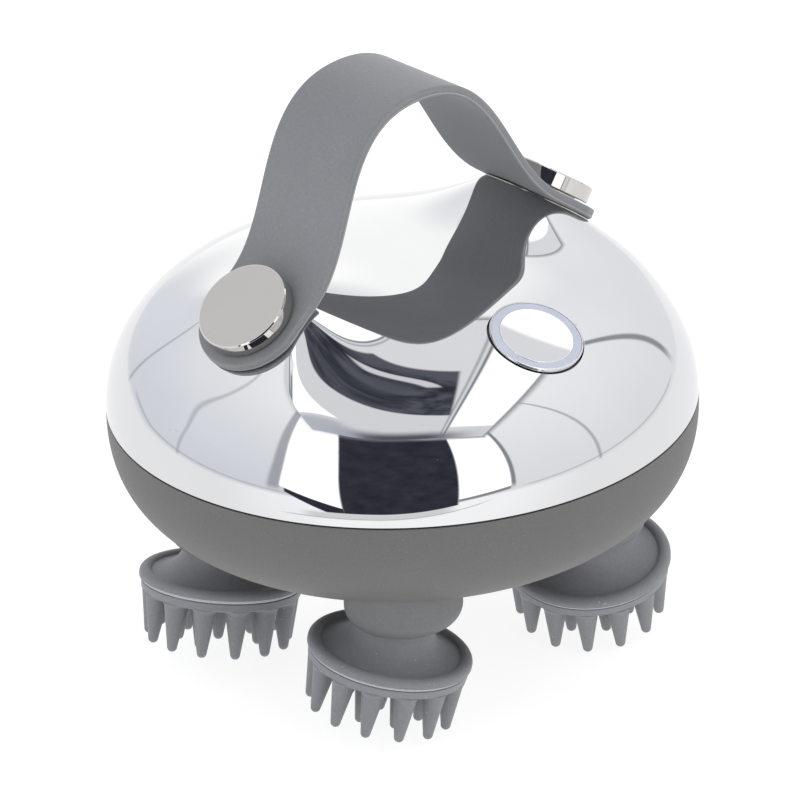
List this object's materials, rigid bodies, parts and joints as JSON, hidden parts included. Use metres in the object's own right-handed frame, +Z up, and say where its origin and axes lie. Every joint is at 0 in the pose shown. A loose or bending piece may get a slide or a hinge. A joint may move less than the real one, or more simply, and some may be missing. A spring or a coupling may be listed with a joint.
{
  "type": "electric scalp massager",
  "caption": "Hand-held electric scalp massager: chromed dome over a grey base, silicone palm strap, one lit button, tilted silicone heads with tines on a worm and sun gear drive",
  "frame": {"origin": "Centre of the bounding box's base: the point where the axis of the round case meets the table plane that the lowest tine tips touch.", "axes": "+Z up, from the tines to the strap. The button faces -Y, the charging port +Y, and the strap runs along X from the left seat (-X) to the right one (+X)."},
  "size_m": [0.135, 0.135, 0.1432],
  "materials": {
    "chromed_dome": "mirror-bright chrome plating on a moulded dome",
    "soft_grey_shell": "warm grey soft-touch paint, fine speckle",
    "black_seal": "black silicone cord, matt",
    "screw_steel": "zinc-plated steel",
    "strap_silicone": "grey silicone, satin, a fine mould line on its edge",
    "nickel_cap_left": "satin brushed nickel with a polished bevel",
    "nickel_cap_right": "satin brushed nickel with a polished bevel",
    "nut_brass": "plain turned brass",
    "bezel_chrome": "polished chrome",
    "disc_chrome": "mirror-polished chrome",
    "frosted_guide": "milky clear acrylic that glows lavender grey",
    "black_rubber": "black silicone",
    "dark_seal": "dark grey silicone",
    "switch_body": "grey glass-filled nylon",
    "board_green_button": "green solder mask",
    "led_white": "white LED packages",
    "screw_steel_small": "zinc-plated steel",
    "collar_front_left": "cool grey satin plastic",
    "collar_front_right": "cool grey satin plastic",
    "collar_rear_left": "cool grey satin plastic",
    "collar_rear_right": "cool grey satin plastic",
    "lip_seal": "dark grey nitrile rubber",
    "bush_bronze_lower": "sintered bronze, oily",
    "bush_bronze_upper": "sintered bronze, oily",
    "crank_steel_front_left": "ground steel",
    "crank_steel_front_right": "ground steel",
    "crank_steel_rear_left": "ground steel",
    "crank_steel_rear_right": "ground steel",
    "core_front_left": "dark grey nylon",
    "core_front_right": "dark grey nylon",
    "core_rear_left": "dark grey nylon",
    "core_rear_right": "dark grey nylon",
    "claw_silicone_front_left": "dark blue-grey silicone, satin",
    "claw_silicone_front_right": "dark blue-grey silicone, satin",
    "claw_silicone_rear_left": "dark blue-grey silicone, satin",
    "claw_silicone_rear_right": "dark blue-grey silicone, satin",
    "gear_nylon_front_left": "off-white acetal, greased",
    "gear_nylon_front_right": "off-white acetal, greased",
    "gear_nylon_rear_left": "off-white acetal, greased",
    "gear_nylon_rear_right": "off-white acetal, greased",
    "plate_steel": "zinc-plated sheet steel",
    "screw_steel_plate": "zinc-plated steel",
    "gear_nylon_sun": "off-white acetal, greased",
    "pin_steel": "ground steel",
    "frame_nylon": "dark grey glass-filled nylon",
    "screw_steel_frame": "zinc-plated steel",
    "motor_can": "zinc-plated steel can",
    "motor_shaft_steel": "ground steel",
    "worm_brass": "turned brass, greased",
    "bush_bronze_worm": "sintered bronze",
    "cell_wrap": "blue heat-shrink sleeve",
    "tray_nylon": "dark grey moulded nylon",
    "board_green_control": "green solder mask",
    "board_green_charge": "green solder mask",
    "socket_steel": "bright formed steel",
    "plug_silicone": "grey silicone"
  },
  "bodies": {
    "case": {"top_shell": "chromed_dome", "bottom_shell": "soft_grey_shell", "shell_seal": "black_seal", "case_screws": "screw_steel", "strap": "strap_silicone", "strap_cap_left": "nickel_cap_left", "strap_cap_right": "nickel_cap_right", "strap_nuts": "nut_brass", "button_seal": "dark_seal", "tact_switch": "switch_body", "button_board": "board_green_button", "button_leds": "led_white", "board_screws": "screw_steel_small", "neck_collar_front_left": "collar_front_left", "neck_collar_front_right": "collar_front_right", "neck_collar_rear_left": "collar_rear_left", "neck_collar_rear_right": "collar_rear_right", "shaft_seals": "lip_seal", "lower_bushes": "bush_bronze_lower", "upper_bushes": "bush_bronze_upper", "gear_plate": "plate_steel", "plate_screws": "screw_steel_plate", "sun_pin": "pin_steel", "motor_frame": "frame_nylon", "frame_screws": "screw_steel_frame", "motor": "motor_can", "worm_bush": "bush_bronze_worm", "battery": "cell_wrap", "battery_tray": "tray_nylon", "control_board": "board_green_control", "charge_board": "board_green_charge", "charging_socket": "socket_steel"},
    "power_button": {"button_bezel": "bezel_chrome", "button_disc": "disc_chrome", "light_guide": "frosted_guide", "switch_plunger": "black_rubber"},
    "head_front_left": {"crank_shaft_front_left": "crank_steel_front_left", "head_core_front_left": "core_front_left", "claw_front_left": "claw_silicone_front_left", "head_gear_front_left": "gear_nylon_front_left"},
    "head_front_right": {"crank_shaft_front_right": "crank_steel_front_right", "head_core_front_right": "core_front_right", "claw_front_right": "claw_silicone_front_right", "head_gear_front_right": "gear_nylon_front_right"},
    "head_rear_left": {"crank_shaft_rear_left": "crank_steel_rear_left", "head_core_rear_left": "core_rear_left", "claw_rear_left": "claw_silicone_rear_left", "head_gear_rear_left": "gear_nylon_rear_left"},
    "head_rear_right": {"crank_shaft_rear_right": "crank_steel_rear_right", "head_core_rear_right": "core_rear_right", "claw_rear_right": "claw_silicone_rear_right", "head_gear_rear_right": "gear_nylon_rear_right"},
    "sun": {"sun_gear": "gear_nylon_sun"},
    "worm_drive": {"worm": "worm_brass", "motor_shaft": "motor_shaft_steel"},
    "charging_plug": {"port_plug": "plug_silicone"}
  },
  "joints": [
    {"name": "head_front_left_spin", "type": "hinge", "parent": "case", "child": "head_front_left", "pos_m": [-0.02908, -0.02908, 0.045], "axis": [0, 0, 1], "continuous": true},
    {"name": "head_front_right_spin", "type": "hinge", "parent": "case", "child": "head_front_right", "pos_m": [0.02908, -0.02908, 0.045], "axis": [0, 0, 1], "continuous": true},
    {"name": "head_rear_left_spin", "type": "hinge", "parent": "case", "child": "head_rear_left", "pos_m": [-0.02908, 0.02908, 0.045], "axis": [0, 0, 1], "continuous": true},
    {"name": "head_rear_right_spin", "type": "hinge", "parent": "case", "child": "head_rear_right", "pos_m": [0.02908, 0.02908, 0.045], "axis": [0, 0, 1], "continuous": true},
    {"name": "sun_spin", "type": "hinge", "parent": "case", "child": "sun", "pos_m": [0, 0, 0.045], "axis": [0, 0, 1], "continuous": true},
    {"name": "worm_spin", "type": "hinge", "parent": "case", "child": "worm_drive", "pos_m": [0, 0.0175, 0.05856], "axis": [1, 0, 0], "continuous": true},
    {"name": "button_press", "type": "slide", "parent": "case", "child": "power_button", "axis": [0, 0.3875, -0.9219], "range_m": [0, 0.0006], "stiffness_N_per_m": 900, "springref_m": -0.0008},
    {"name": "port_plug_pull", "type": "slide", "parent": "case", "child": "charging_plug", "axis": [0, 1, 0], "range_m": [0, 0.012]}
  ],
  "couplings": [
    {"joint": "head_front_right_spin", "follows": "head_front_left_spin", "ratio": 1},
    {"joint": "head_rear_left_spin", "follows": "head_front_left_spin", "ratio": 1},
    {"joint": "head_rear_right_spin", "follows": "head_front_left_spin", "ratio": 1},
    {"joint": "sun_spin", "follows": "head_front_left_spin", "ratio": -0.65},
    {"joint": "worm_spin", "follows": "head_front_left_spin", "ratio": -16.9}
  ]
}
